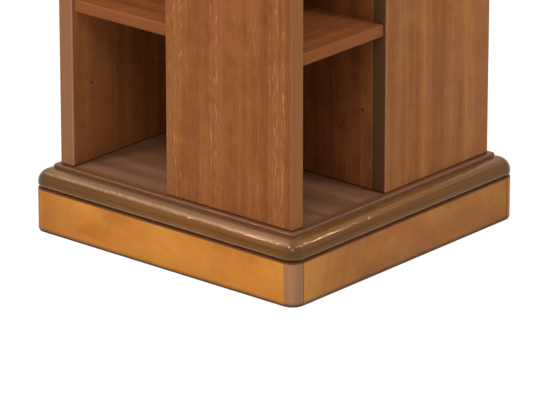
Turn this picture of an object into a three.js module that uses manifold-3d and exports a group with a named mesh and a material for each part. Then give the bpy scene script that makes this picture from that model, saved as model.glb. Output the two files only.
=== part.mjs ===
// Rotating media tower: a pinwheel of boards round four columns of shelves, on a plinth that stays still.
// Millimetres, +Z up. The origin is the centre of the footprint, on the floor. The front faces -Y.

import * as THREE from 'three';
import { mergeVertices } from 'three/addons/utils/BufferGeometryUtils.js';
import Module from 'manifold-3d';

const wasm = await Module();
wasm.setup();

// Body of the tower
const towerHeight = 1050;
const bodySide = 302;
const panelPastCentre = 10.5;
const panelThickness = 17.5;
const dividerThickness = 12;
const levelCount = 6;
const boardRound = 2;

// Shelves, their pegs and the rows of holes for them
const shelfThickness = 12;
const shelfSetback = 3;
const shelfEase = 1;
const pegHoleRadius = 2.5;
const pegHoleDepth = 8;
const pegHoleSetback = 30;
const pegHolesPerLevel = 2;
const pegReach = 6;
const pegBite = 0.8;

// Moulded boards under and over the body
const mouldedSide = 342;
const mouldedThickness = 21;
const cornerRadius = 13.5;
const ovoloHeight = 14;
const filletHeight = 4.2;
const filletInset = 14.8;
const filletRound = 1.5;
const filletCornerRadius = 2;
const lipRadius = 1.8;

// Dowels between the boards
const dowelRadius = 3;
const dowelReach = 11;
const dowelInset = 24;

// Plinth
const railHeight = 43;
const railEase = 0.8;
const tongueThickness = 4;
const tongueReach = 5;
const deckThickness = 12;
const glueBlockSide = 30;
const glueBlockNose = 12;
const glideRadius = 9;
const glideHeight = 1.6;
const glideInset = 12;
const glideEase = 0.4;
const nailRadius = 1.2;
const nailLength = 11;

// Turntable bearing
const turningGap = 3.3;
const bearingHeight = 8;
const bearingSide = 152;
const bearingCornerRadius = 10;
const bearingThickness = 1.5;
const bearingBoreRadius = 46;
const raceRadius = 58;
const raceHalfWidth = 6;
const ballRadius = 2.5;
const ballPlay = 0.35;
const ballCount = 12;
const cageThickness = 1;
const cageHalfWidth = 4.6;
const cagePlay = 0.3;
const accessHoleRadius = 8;

// Screws of the bearing
const screwRadius = 1.9;
const screwLength = 10;
const screwTip = 3;
const screwInset = 9;
const screwHeadRadius = 3.6;
const screwHeadHeight = 1.9;
const screwHeadBrim = 0.7;
const screwCrownShare = 0.45;

// Clearances
const seatGap = 0.3;
const overrun = 2;

// How finely round shapes are cut
const cornerSteps = 5;
const boardRoundSteps = 2;
const ovoloSteps = 7;
const lipSteps = 2;
const filletSteps = 2;
const ringSides = 36;
const roundSides = 12;
const screwSides = 6;
const pegSides = 5;
const ballSides = 6;
const ballRings = 4;
const raceSteps = 3;

// Places worked out from the sizes above
const quarterCount = 4;
const quarterTurn = Math.PI / 2;
const bodyHalf = bodySide / 2;
const mouldedHalf = mouldedSide / 2;
const panelStart = -panelPastCentre;
const panelInnerFace = bodyHalf - panelThickness;
const dividerFarFace = panelStart + dividerThickness;
const railThickness = cornerRadius;
const railTop = glideHeight + railHeight;
const mouldedBottom = railTop + turningGap;
const bearingBottom = mouldedBottom - bearingHeight;
const deckBottom = bearingBottom - deckThickness;
const interiorFloor = mouldedBottom + mouldedThickness;
const interiorCeiling = towerHeight - mouldedThickness;
const interiorHeight = interiorCeiling - interiorFloor;
const boardHeight = interiorHeight - 2 * seatGap;
const levelPitch = interiorHeight / levelCount;
const screwPlace = bearingSide / 2 - screwInset;
const raceRim = bearingHeight / 2 - cageThickness / 2 - cagePlay;
const glidePlace = mouldedHalf - railThickness - glideInset;
const pegHolePitch = levelPitch / pegHolesPerLevel;
const pegHoleRows = [bodyHalf - pegHoleSetback, dividerFarFace + pegHoleSetback];

const finishes = {
  cherryBoard: { color: 0x935c36, roughness: 0.45, metalness: 0 },
  cherryShelf: { color: 0x8a5634, roughness: 0.5, metalness: 0 },
  darkMoulding: { color: 0x784e2a, roughness: 0.22, metalness: 0 },
  lightVeneer: { color: 0xc48038, roughness: 0.4, metalness: 0 },
  cornerWood: { color: 0xa8734e, roughness: 0.4, metalness: 0 },
  plainWood: { color: 0xc2a070, roughness: 0.75, metalness: 0 },
  zincSteel: { color: 0xb4b6b8, roughness: 0.35, metalness: 1 },
  ballSteel: { color: 0xd0d2d4, roughness: 0.15, metalness: 1 },
  nylon: { color: 0x4a443e, roughness: 0.6, metalness: 0 },
};

// Closed solid of a geometry, ready to be joined or cut
function solidOf(geometry) {
  const bare = geometry.clone();
  bare.deleteAttribute('normal');
  bare.deleteAttribute('uv');
  const merged = mergeVertices(bare);
  return new wasm.Manifold(new wasm.Mesh({
    numProp: 3,
    vertProperties: new Float32Array(merged.attributes.position.array),
    triVerts: new Uint32Array(merged.index.array),
  }));
}

function geometryOf(solid) {
  const mesh = solid.getMesh();
  const geometry = new THREE.BufferGeometry();
  geometry.setAttribute('position', new THREE.BufferAttribute(mesh.vertProperties, 3));
  geometry.setIndex(new THREE.BufferAttribute(mesh.triVerts, 1));
  geometry.computeVertexNormals();
  return geometry;
}

function cut(geometry, cutters) {
  let solid = solidOf(geometry);
  for (const cutter of cutters) {
    solid = solid.subtract(solidOf(cutter));
  }
  return geometryOf(solid);
}

function join(geometry, additions) {
  let solid = solidOf(geometry);
  for (const addition of additions) {
    solid = solid.add(solidOf(addition));
  }
  return geometryOf(solid);
}

// Upright board with an outline in plan, and with its two ends eased where an ease is given
function board(outline, height, ease = 0, arcSteps = cornerSteps) {
  const geometry = new THREE.ExtrudeGeometry(outline, {
    depth: height - 2 * ease,
    bevelEnabled: ease > 0,
    bevelThickness: ease,
    bevelSize: ease,
    bevelOffset: -ease,
    bevelSegments: 1,
    curveSegments: arcSteps / 2,
  });
  return geometry.translate(0, 0, ease);
}

// Rectangle in plan, with its corners rounded where a radius is given
function rectangle(left, right, near, far, radius = 0) {
  const corners = [
    [right - radius, near + radius],
    [right - radius, far - radius],
    [left + radius, far - radius],
    [left + radius, near + radius],
  ];
  if (radius === 0) {
    return new THREE.Shape(corners.map(([x, y]) => new THREE.Vector2(x, y)));
  }
  const shape = new THREE.Shape();
  corners.forEach(([x, y], turn) => {
    const start = (turn - 1) * quarterTurn;
    shape.absarc(x, y, radius, start, start + quarterTurn, false);
  });
  return shape;
}

// Upright rod whose lower end stands at the height given
function rod(radius, length, x, y, bottom, sides) {
  const geometry = new THREE.CylinderGeometry(radius, radius, length, sides);
  return geometry.rotateX(quarterTurn).translate(x, y, bottom + length / 2);
}

// Points of a rounded square, the same number for every size, so that rings of them can be lofted
function squareRing(halfSide, roundRadius, height) {
  const points = [];
  for (let corner = 0; corner < quarterCount; corner += 1) {
    for (let step = 0; step <= cornerSteps; step += 1) {
      const angle = (corner + step / cornerSteps) * quarterTurn;
      const turned = (corner + 0.5) * quarterTurn;
      const x = (halfSide - roundRadius) * Math.sign(Math.cos(turned)) + roundRadius * Math.cos(angle);
      const y = (halfSide - roundRadius) * Math.sign(Math.sin(turned)) + roundRadius * Math.sin(angle);
      points.push(x, y, height);
    }
  }
  return points;
}

// Square board whose edge follows a routed profile, listed from its underside to its top
function routedBoard(profile) {
  const positions = [];
  const indices = [];
  for (const [inset, height] of profile) {
    const ringRadius = Math.max(cornerRadius - inset, filletCornerRadius);
    positions.push(...squareRing(mouldedHalf - inset, ringRadius, height));
  }
  const ringSize = quarterCount * (cornerSteps + 1);
  for (let ring = 0; ring + 1 < profile.length; ring += 1) {
    for (let step = 0; step < ringSize; step += 1) {
      const here = ring * ringSize + step;
      const next = ring * ringSize + (step + 1) % ringSize;
      indices.push(here, next, next + ringSize);
      indices.push(here, next + ringSize, here + ringSize);
    }
  }
  const bottomCentre = profile.length * ringSize;
  const topCentre = bottomCentre + 1;
  const lastRing = bottomCentre - ringSize;
  positions.push(0, 0, profile.at(0)[1]);
  positions.push(0, 0, profile.at(-1)[1]);
  for (let step = 0; step < ringSize; step += 1) {
    const next = (step + 1) % ringSize;
    indices.push(bottomCentre, next, step);
    indices.push(topCentre, lastRing + step, lastRing + next);
  }
  const geometry = new THREE.BufferGeometry();
  geometry.setAttribute('position', new THREE.Float32BufferAttribute(positions, 3));
  geometry.setIndex(indices);
  return geometry;
}

// Edge of the moulded boards: a small lip, an upright face, a long ovolo and a rounded fillet on top
function mouldedProfile() {
  const ovoloBottom = mouldedThickness - filletHeight - ovoloHeight;
  const profile = [];
  for (let step = 0; step <= lipSteps; step += 1) {
    const angle = quarterTurn * step / lipSteps;
    profile.push([lipRadius * (1 - Math.sin(angle)), lipRadius * (1 - Math.cos(angle))]);
  }
  for (let step = 0; step <= ovoloSteps; step += 1) {
    const angle = quarterTurn * step / ovoloSteps;
    profile.push([filletInset * (1 - Math.cos(angle)), ovoloBottom + ovoloHeight * Math.sin(angle)]);
  }
  for (let step = 0; step <= filletSteps; step += 1) {
    const angle = quarterTurn * step / filletSteps;
    const inset = filletInset + filletRound * (1 - Math.cos(angle));
    profile.push([inset, mouldedThickness - filletRound * (1 - Math.sin(angle))]);
  }
  return profile;
}

// Plan places of the dowels of one panel and one divider, before the quarter turns
function dowelPlaces() {
  const panelLine = -(bodyHalf + panelInnerFace) / 2;
  const dividerLine = (panelStart + dividerFarFace) / 2;
  return {
    panel: [
      [panelStart + dowelInset, panelLine],
      [bodyHalf - dowelInset, panelLine],
    ],
    divider: [
      [dividerLine, -panelInnerFace + dowelInset],
      [dividerLine, -dividerFarFace - dowelInset],
    ],
  };
}

// Dowels standing out of both ends of a board that reaches from the floor of the shelves to their ceiling
function dowels(places) {
  const rods = [];
  const length = dowelReach + overrun;
  for (const [x, y] of places) {
    rods.push(rod(dowelRadius, length, x, y, -dowelReach, pegSides));
    rods.push(rod(dowelRadius, length, x, y, boardHeight - overrun, pegSides));
  }
  return rods;
}

// Blind holes for every dowel, in the moulded board that they enter
function dowelHoles(bottom) {
  const holes = [];
  const places = [...dowelPlaces().panel, ...dowelPlaces().divider];
  const depth = dowelReach + seatGap;
  for (let quarter = 0; quarter < quarterCount; quarter += 1) {
    for (const [x, y] of places) {
      const hole = rod(dowelRadius + seatGap, depth + overrun, x, y, bottom, pegSides);
      holes.push(hole.rotateZ(quarter * quarterTurn));
    }
  }
  return holes;
}

function screwHoles(depth, bottom) {
  const holes = [];
  for (let quarter = 0; quarter < quarterCount; quarter += 1) {
    const hole = rod(screwRadius + seatGap, depth, screwPlace, screwPlace, bottom, screwSides);
    holes.push(hole.rotateZ(quarter * quarterTurn));
  }
  return holes;
}

function baseBoard() {
  const screwDepth = screwLength + seatGap;
  return cut(routedBoard(mouldedProfile()), [
    ...dowelHoles(mouldedThickness - dowelReach - seatGap),
    ...screwHoles(screwDepth + overrun, -overrun),
  ]);
}

function topBoard() {
  return cut(routedBoard(mouldedProfile()), dowelHoles(-overrun));
}

// Heights of the peg holes over the floor of the shelves
function pegHoleHeights() {
  const heights = [];
  for (let height = pegHolePitch; height < boardHeight; height += pegHolePitch) {
    heights.push(height);
  }
  return heights;
}

// Rod that lies along Y and starts at the face given
function lyingRod(radius, length, x, start, height) {
  const geometry = new THREE.CylinderGeometry(radius, radius, length, pegSides);
  return geometry.translate(x, start + length / 2, height);
}

// Front panel of the pinwheel, from which the other three are turned
function panel() {
  const outline = rectangle(panelStart, bodyHalf, -bodyHalf, -panelInnerFace, boardRound);
  const holes = [];
  for (const height of pegHoleHeights()) {
    for (const row of pegHoleRows) {
      const start = -panelInnerFace - pegHoleDepth;
      holes.push(lyingRod(pegHoleRadius, pegHoleDepth + overrun, row, start, height - seatGap));
    }
  }
  const plain = board(outline, boardHeight, 0, boardRoundSteps);
  return join(cut(plain, holes), dowels(dowelPlaces().panel));
}

// Divider behind the front panel: the back of one column and the side of the next. Its peg holes face
// those of the left panel, so they are the holes of the wall one quarter turn on, turned back to it.
function divider() {
  const near = -panelInnerFace + seatGap;
  const far = -dividerFarFace - seatGap;
  const outline = rectangle(panelStart, dividerFarFace, near, far);
  const holeLength = pegHoleDepth + overrun;
  const holeStart = panelStart - overrun;
  const holes = [];
  for (const height of pegHoleHeights()) {
    for (const row of pegHoleRows) {
      const hole = lyingRod(pegHoleRadius, holeLength, row, holeStart, height - seatGap);
      holes.push(hole.rotateZ(-quarterTurn));
    }
  }
  const plain = board(outline, boardHeight);
  return join(cut(plain, holes), dowels(dowelPlaces().divider));
}

// Shelf of the column that opens to the right, with the pegs that hold it in the walls on both sides
function shelf() {
  const near = -panelInnerFace + seatGap;
  const far = panelStart - seatGap;
  const back = dividerFarFace + seatGap;
  const outline = rectangle(back, bodyHalf - shelfSetback, near, far);
  const pegRadius = pegHoleRadius - seatGap;
  const pegLength = pegReach + pegHoleDepth - seatGap;
  const pegs = [];
  for (const row of pegHoleRows) {
    const height = pegBite - pegRadius;
    pegs.push(lyingRod(pegRadius, pegLength, row, -panelInnerFace + pegReach - pegLength, height));
    pegs.push(lyingRod(pegRadius, pegLength, row, panelStart - pegReach, height));
  }
  return join(board(outline, shelfThickness, shelfEase), pegs);
}

// Rail of the plinth, grooved at both ends
function rail() {
  const half = mouldedHalf - cornerRadius - seatGap;
  const outer = -mouldedHalf;
  const inner = outer + railThickness;
  const middle = (outer + inner) / 2;
  const grooveHalf = tongueThickness / 2 + seatGap;
  const grooveEnd = half - tongueReach - seatGap;
  const shape = new THREE.Shape();
  shape.moveTo(-half, outer);
  shape.lineTo(half, outer);
  shape.lineTo(half, middle - grooveHalf);
  shape.lineTo(grooveEnd, middle - grooveHalf);
  shape.lineTo(grooveEnd, middle + grooveHalf);
  shape.lineTo(half, middle + grooveHalf);
  shape.lineTo(half, inner);
  shape.lineTo(-half, inner);
  shape.lineTo(-half, middle + grooveHalf);
  shape.lineTo(-grooveEnd, middle + grooveHalf);
  shape.lineTo(-grooveEnd, middle - grooveHalf);
  shape.lineTo(-half, middle - grooveHalf);
  return board(shape, railHeight, railEase);
}

// Quarter-round corner post at the front right, with a tongue for each of its two rails
function cornerPost() {
  const centre = mouldedHalf - cornerRadius;
  const middle = mouldedHalf - railThickness / 2;
  const tongueHalf = tongueThickness / 2;
  const tongueEnd = centre - tongueReach;
  const shape = new THREE.Shape();
  shape.moveTo(centre, -mouldedHalf);
  shape.absarc(centre, -centre, cornerRadius, -quarterTurn, 0, false);
  shape.lineTo(middle + tongueHalf, -centre);
  shape.lineTo(middle + tongueHalf, -tongueEnd);
  shape.lineTo(middle - tongueHalf, -tongueEnd);
  shape.lineTo(middle - tongueHalf, -centre);
  shape.lineTo(centre, -centre);
  shape.lineTo(centre, -middle + tongueHalf);
  shape.lineTo(tongueEnd, -middle + tongueHalf);
  shape.lineTo(tongueEnd, -middle - tongueHalf);
  shape.lineTo(centre, -middle - tongueHalf);
  return board(shape, railHeight, railEase);
}

// Glue block in the front right corner, under the deck, with the pilot hole of its glide
function glueBlock() {
  const outer = mouldedHalf - railThickness - seatGap;
  const inner = outer - glueBlockSide;
  const nose = outer - glueBlockNose;
  const shape = new THREE.Shape();
  shape.moveTo(outer, -outer);
  shape.lineTo(outer, -inner);
  shape.lineTo(nose, -inner);
  shape.lineTo(inner, -nose);
  shape.lineTo(inner, -outer);
  const height = deckBottom - seatGap - glideHeight;
  const holeDepth = nailLength + seatGap;
  const hole = rod(nailRadius + seatGap, holeDepth + overrun, glidePlace, -glidePlace, -overrun, pegSides);
  return cut(board(shape, height), [hole]);
}

// Nail-on glide, standing on the floor
function glide() {
  const top = glideHeight - seatGap;
  const profile = [
    [0, 0],
    [glideRadius - glideEase, 0],
    [glideRadius, glideEase],
    [glideRadius, top],
    [nailRadius, top],
    [nailRadius, top + nailLength - nailRadius],
    [0, top + nailLength],
  ];
  return revolve(profile, roundSides);
}

// Revolves a profile of radius and height round the upright axis
function revolve(profile, sides) {
  const points = profile.map(([radius, height]) => new THREE.Vector2(radius, height));
  return new THREE.LatheGeometry(points, sides).rotateX(quarterTurn);
}

// Deck that carries the bearing; the upper plate's screws are reached through the hole near its edge
function deck() {
  const half = mouldedHalf - railThickness - seatGap;
  const outline = rectangle(-half, half, -half, half);
  const screwDepth = screwLength + seatGap;
  const accessPlace = Math.hypot(screwPlace, screwPlace);
  const accessLength = deckThickness + 2 * overrun;
  return cut(board(outline, deckThickness), [
    ...screwHoles(screwDepth + overrun, deckThickness - screwDepth),
    rod(accessHoleRadius, accessLength, 0, -accessPlace, -overrun, roundSides),
  ]);
}

// Bearing plate: a square flange round a ring with a ball race, open upwards
function bearingPlate() {
  const half = bearingSide / 2;
  const flange = rectangle(-half, half, -half, half, bearingCornerRadius);
  const sheet = board(flange, bearingThickness - seatGap);
  const joined = join(sheet.translate(0, 0, seatGap), [raceRing()]);
  const throughLength = bearingThickness + 2 * overrun;
  return cut(joined, [
    ...screwHoles(throughLength, -overrun),
    rod(bearingBoreRadius, throughLength, 0, 0, -overrun, ringSides),
  ]);
}

// Ring with the groove that the balls run in
function raceRing() {
  const centre = bearingHeight / 2;
  const grooveRadius = ballRadius + ballPlay;
  const rimAngle = Math.asin((centre - raceRim) / grooveRadius);
  const profile = [
    [raceRadius - raceHalfWidth, seatGap],
    [raceRadius + raceHalfWidth, seatGap],
    [raceRadius + raceHalfWidth, raceRim],
  ];
  for (let step = 0; step <= raceSteps; step += 1) {
    const angle = rimAngle + (2 * quarterTurn - 2 * rimAngle) * step / raceSteps;
    profile.push([raceRadius + grooveRadius * Math.cos(angle), centre - grooveRadius * Math.sin(angle)]);
  }
  profile.push([raceRadius - raceHalfWidth, raceRim]);
  profile.push([raceRadius - raceHalfWidth, seatGap]);
  return revolve(profile, ringSides);
}

// Thin ring that spaces the balls, with the balls caught in it
function ballCage() {
  const low = (bearingHeight - cageThickness) / 2;
  const high = (bearingHeight + cageThickness) / 2;
  const ring = revolve([
    [raceRadius - cageHalfWidth, low],
    [raceRadius + cageHalfWidth, low],
    [raceRadius + cageHalfWidth, high],
    [raceRadius - cageHalfWidth, high],
    [raceRadius - cageHalfWidth, low],
  ], ringSides);
  const balls = [];
  for (let ball = 0; ball < ballCount; ball += 1) {
    const sphere = new THREE.SphereGeometry(ballRadius, ballSides, ballRings);
    sphere.translate(raceRadius, 0, bearingHeight / 2);
    balls.push(sphere.rotateZ(quarterCount * quarterTurn * ball / ballCount));
  }
  return join(ring, balls);
}

// Pan-head screw, its head on the plane at zero and its tip down
function screw() {
  return revolve([
    [0, -screwLength],
    [screwRadius, -screwLength + screwTip],
    [screwRadius, 0],
    [screwHeadRadius, 0],
    [screwHeadRadius, screwHeadBrim],
    [screwHeadRadius * screwCrownShare, screwHeadHeight],
    [0, screwHeadHeight],
  ], screwSides);
}

const tower = new THREE.Group();

function place(parent, name, geometry, finish, x, y, z) {
  const mesh = new THREE.Mesh(geometry, new THREE.MeshStandardMaterial(finishes[finish]));
  mesh.name = name;
  mesh.position.set(x, y, z);
  parent.add(mesh);
  return mesh;
}

const plate = bearingPlate();
place(tower, 'plinth_deck', deck(), 'plainWood', 0, 0, deckBottom);
place(tower, 'lower_bearing_plate', plate, 'zincSteel', 0, 0, bearingBottom);
place(tower, 'ball_cage', ballCage(), 'ballSteel', 0, 0, bearingBottom);
const upperPlate = place(tower, 'upper_bearing_plate', plate, 'zincSteel', 0, 0, mouldedBottom);
upperPlate.rotation.x = 2 * quarterTurn;
place(tower, 'base_board', baseBoard(), 'darkMoulding', 0, 0, mouldedBottom);
place(tower, 'top_board', topBoard(), 'darkMoulding', 0, 0, interiorCeiling);

// One quarter of the pinwheel and of the plinth, turned into its four places
const sides = ['front', 'right', 'back', 'left'];
const quarterPieces = {
  panel: panel(),
  divider: divider(),
  shelf: shelf(),
  rail: rail(),
  post: cornerPost(),
  glueBlock: glueBlock(),
  glide: glide(),
  screw: screw(),
};
for (let quarter = 0; quarter < quarterCount; quarter += 1) {
  const side = sides[quarter];
  const nextSide = sides[(quarter + 1) % quarterCount];
  const corner = `${side}_${nextSide}`;
  const group = new THREE.Group();
  group.rotation.z = quarter * quarterTurn;
  tower.add(group);
  place(group, `${side}_panel`, quarterPieces.panel, 'cherryBoard', 0, 0, interiorFloor + seatGap);
  place(group, `${side}_divider`, quarterPieces.divider, 'cherryBoard', 0, 0, interiorFloor + seatGap);
  for (let level = 1; level < levelCount; level += 1) {
    const underside = interiorFloor + level * levelPitch + pegHoleRadius - seatGap - pegBite;
    place(group, `${nextSide}_shelf_${level}`, quarterPieces.shelf, 'cherryShelf', 0, 0, underside);
  }
  place(group, `${side}_rail`, quarterPieces.rail, 'lightVeneer', 0, 0, glideHeight);
  place(group, `${corner}_post`, quarterPieces.post, 'cornerWood', 0, 0, glideHeight);
  place(group, `${corner}_glue_block`, quarterPieces.glueBlock, 'plainWood', 0, 0, glideHeight);
  place(group, `${corner}_glide`, quarterPieces.glide, 'nylon', glidePlace, -glidePlace, 0);
  const headSeat = bearingThickness + seatGap;
  const lowerHead = bearingBottom + headSeat;
  const upperHead = mouldedBottom - headSeat;
  place(group, `${corner}_lower_screw`, quarterPieces.screw, 'zincSteel', screwPlace, -screwPlace, lowerHead);
  const upperName = `${corner}_upper_screw`;
  const upper = place(group, upperName, quarterPieces.screw, 'zincSteel', screwPlace, -screwPlace, upperHead);
  upper.rotation.x = 2 * quarterTurn;
}

export default tower;
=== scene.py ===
"""Looks of the rotating media tower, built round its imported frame. Metres, +Z up, the front faces -Y."""

import math

import bmesh
import bpy
from mathutils import Matrix, Vector


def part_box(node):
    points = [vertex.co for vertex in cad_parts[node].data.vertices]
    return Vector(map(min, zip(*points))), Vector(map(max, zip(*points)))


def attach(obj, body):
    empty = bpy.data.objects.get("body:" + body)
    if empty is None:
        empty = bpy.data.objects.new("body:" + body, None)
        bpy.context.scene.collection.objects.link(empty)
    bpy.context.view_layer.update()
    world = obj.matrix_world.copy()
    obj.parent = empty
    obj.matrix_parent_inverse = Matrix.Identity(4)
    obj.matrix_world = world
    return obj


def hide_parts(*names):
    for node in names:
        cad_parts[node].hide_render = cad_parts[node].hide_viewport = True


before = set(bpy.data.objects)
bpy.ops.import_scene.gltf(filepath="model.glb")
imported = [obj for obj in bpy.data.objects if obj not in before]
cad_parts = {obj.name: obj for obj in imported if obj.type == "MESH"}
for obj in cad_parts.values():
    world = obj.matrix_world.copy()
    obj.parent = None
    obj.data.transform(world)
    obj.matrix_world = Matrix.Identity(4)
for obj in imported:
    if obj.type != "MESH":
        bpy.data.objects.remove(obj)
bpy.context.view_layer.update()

MM = 0.001
QUARTER_TURN = math.pi / 2
SIDES = ["front", "right", "back", "left"]
SHELVES_PER_COLUMN = 5

# Camera, fitted to the photograph: the image is 550 pixels wide, and the focal length is 5000 pixels
IMAGE_WIDTH = 550
FOCAL_PIXELS = 5000
SENSOR_WIDTH = 36
CAMERA_AZIMUTH = 40.63
CAMERA_ELEVATION = 20.26
CAMERA_DISTANCE = 5.004
AIM_SIDEWAYS = 0.1 * MM
AIM_UP = 15.2 * MM
CLIP_END = 100.0

# Lamps, world and floor. The floor glows less where the plinth's foot covers it, so that a shadow is left.
WORLD_STRENGTH = 0.38
LAMP_DISTANCE = 3.0
GLINT_DISTANCE = 1.2
LAMP_AIM_HEIGHT = 0.3
GLINT_SHIFT = 20 * MM
FLOOR_REACH = 12.0
FLOOR_GREY = 0.86
FLOOR_GLOW_SHARE = 0.85
FLOOR_GLOW = (0.03, 1.13)
SHADOW_REACH = 14 * MM
SHADOW_SAMPLES = 16
SHADOW_OPENNESS = (0.22, 0.47)

# Boards of the body
BOARD_ROUND = 2.3 * MM
BOARD_ROUND_STEPS = 5
DIVIDER_ROUND = 0.5 * MM
DIVIDER_ROUND_STEPS = 2
END_EASE = 0.25 * MM
SEAT_GAP = 0.3 * MM
SHELF_THICKNESS = 12 * MM
SHELF_SETBACK = 3 * MM
SHELF_ROUND = 1.4 * MM
SHELF_ROUND_STEPS = 3
SMOOTH_ANGLE = math.radians(32)

# Strips that the boards are glued from: width, the place of one seam between strips, and numbers that choose
# their random tones
LEAF_WIDTH = 69 * MM
LEAF_START = -19.5 * MM
LEAF_SEEDS = 10
LEAF_SEED = 0.5

# Peg holes and pegs
HOLE_RADIUS = 2.5 * MM
HOLE_DEPTH = 8 * MM
HOLE_SETBACK = 30 * MM
HOLES_PER_LEVEL = 2
PEG_RADIUS = 2.2 * MM
PEG_DEPTH = 0.9 * HOLE_DEPTH
PEG_REACH = 6 * MM
PEG_BITE = 0.8 * MM
COLLAR_RADIUS = 3.4 * MM
COLLAR_WIDTH = 1.0 * MM
COLLAR_GAP = 0.05 * MM
ROD_SIDES = 28

# Routed edge of the moulded boards
CORNER_RADIUS = 13.5 * MM
OVOLO_HEIGHT = 14 * MM
FILLET_HEIGHT = 4.2 * MM
FILLET_INSET = 14.8 * MM
FILLET_ROUND = 1.5 * MM
FILLET_CORNER = 2.2 * MM
LIP_RADIUS = 1.8 * MM
LIP_DROP = 0.5 * MM
OVOLO_STEPS = 20
ROUND_STEPS = 5
CORNER_STEPS = 14

# Plinth
RAIL_ROUND = 0.7 * MM
RAIL_ROUND_STEPS = 3
SEAM_GAP = 0.05 * MM
PLINTH_FOOT = 4.2 * MM
FOOT_SHADE = 0.5

# Fades: of the painted light below the plinth's top, of the painted shade inwards from its rim, of the glue
# line inwards from a rail's end, and of the painted contact shadow upwards from the top of the moulded base
GAP_PAINT_FADE = (1.2 * MM, 0.6 * MM)
RIM_FADE = (3.6 * MM, 2.2 * MM)
SEAM_FADE = (0.9 * MM, 0.5 * MM)
CONTACT_SHADOW_FADE = (0.9 * MM, 1.6 * MM)

# Fades on the moulded boards: upwards from the underside for the lip's painted highlight and the crown's
# painted highlight, downwards from the top for the next five (the second and third bound the painted shade on
# the fillet's face), inwards from the corner's point, and to both sides of the panels' faces and the diagonal
LIP_HIGHLIGHT_FADE = (0.6 * MM, 2.8 * MM)
CROWN_HIGHLIGHT_FADE = (11.3 * MM, 12.8 * MM)
LEDGE_FADE = (5.1 * MM, 4.0 * MM)
FILLET_SHADE_IN = (3.8 * MM, 2.6 * MM)
FILLET_SHADE_OUT = (1.6 * MM, 1.0 * MM)
FIELD_FADE = (1.1 * MM, 0.3 * MM)
CORNER_TOP_FADE = (4 * MM, 1 * MM)
CORNER_FADE = (30 * MM, 10 * MM)
FIELD_EDGE_FADE = (8 * MM, 2 * MM)
SIDE_FADE = 20 * MM

# Painted shade on the moulding, darker towards the left end: places along X, and shades
LEFT_FADE = (-120 * MM, 40 * MM)
LEFT_PAINTED_SHADES = (0.75, 1.02)

# Patterns along the grain: the share of the scale that is left in its direction, and settings of the noise
FIBRES = {"share": 0.02, "scale": 900.0, "detail": 3.0, "roughness": 0.6}
CHERRY_BANDS = {"share": 0.03, "scale": 70.0, "detail": 3.0, "roughness": 0.55, "distortion": 0.3}
CHERRY_WIDE = {"share": 0.12, "scale": 16.0, "distortion": 0.2}
CHERRY_FLECKS = {"share": 0.065, "scale": 1250.0, "detail": 1.0}
CHERRY_PORES = {"share": 0.05, "scale": 1200.0, "detail": 1.0}
SOLID_BANDS = {"share": 0.04, "scale": 90.0, "detail": 3.0, "roughness": 0.55, "distortion": 0.2}
VENEER_BANDS = {"share": 0.3, "scale": 60.0, "distortion": 0.3}
VENEER_FIBRES = {"share": 0.05, "scale": 900.0, "detail": 3.0, "roughness": 0.6}
VENEER_ARCS = {"Scale": 24.0, "Distortion": 9.0, "Detail": 2.0, "Detail Scale": 0.7}
WALNUT_BANDS = {"share": 0.02, "scale": 150.0, "detail": 3.0, "roughness": 0.6, "distortion": 0.2}
WALNUT_WIDE = {"share": 0.1, "scale": 22.0, "distortion": 0.2}
FIELD_BANDS = {"share": 0.03, "scale": 60.0, "detail": 3.0, "roughness": 0.55, "distortion": 0.3}
RIPPLES = {"share": 0.8, "scale": 440.0, "detail": 1.0}
ROLLING_MARKS = {"share": 0.05, "detail": 3.0, "roughness": 0.6}

# Patterns without a direction
CHERRY_CURL = {"scale": 52.0}
VENEER_CLOUDS = {"scale": 20.0, "distortion": 0.4}
ARC_PATCHES = {"scale": 17.0, "detail": 1.0}
UNEVEN_SHEEN = {"scale": 60.0, "detail": 3.0, "roughness": 0.6}
PLATING_SPOTS = {"scale": 180.0, "detail": 3.0, "roughness": 0.6}
PLASTIC_SMEARS = {"scale": 90.0, "detail": 3.0, "roughness": 0.6}
PLASTIC_GRAINS = {"scale": 1500.0, "detail": 3.0, "roughness": 0.6}

# Values between which most of a noise lies, and those between which a wood runs from dark to light
NOISE_SPREAD = (0.3, 0.7)
CHERRY_SPREAD = (0.38, 0.64)
SOLID_SPREAD = (0.36, 0.64)
VENEER_SPREAD = (0.32, 0.68)
WALNUT_SPREAD = (0.38, 0.62)

# Shades of a wood's colour between its dark and light fibres
STRONG_FIBRES = (0.9, 1.08)
MILD_FIBRES = (0.95, 1.05)
FAINT_FIBRES = (0.98, 1.02)
END_FIBRES = (0.97, 1.03)

# Weights of the patterns in the cherry's tone, and how its flecks, pores, ramps and faces are marked off
WIDE_WEIGHT = 0.25
LEAF_WEIGHT = 0.1
STREAK_WEIGHT = 0.035
STREAK_CORE = 0.2
STREAK_WANDER = 6 * MM
RAMP_WEIGHT = 0.11
RAMP_EDGE = 0.4 * MM
FLECK_CUT = (0.57, 0.72)
FLECK_BANDS = (0.5, 0.66)
FLECKS_OUTSIDE_STREAKS = (0.05, 0.35)
FLECKS_IN_STREAKS = 0.9
PORE_CUT = (0.58, 0.74)
PORE_STRENGTH = 0.35
END_FACE = (0.8, 0.98)
# Where the painted highlight on the rounded edges starts and ends, and its strength
EDGE_HIGHLIGHT_IN = (0.12, 0.4)
EDGE_HIGHLIGHT_OUT = (0.75, 0.96)
EDGE_HIGHLIGHT_STRENGTH = 0.7
# Strength of the painted contact shadow along the boards' bottoms
CONTACT_SHADOW_STRENGTH = 0.95

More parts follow.
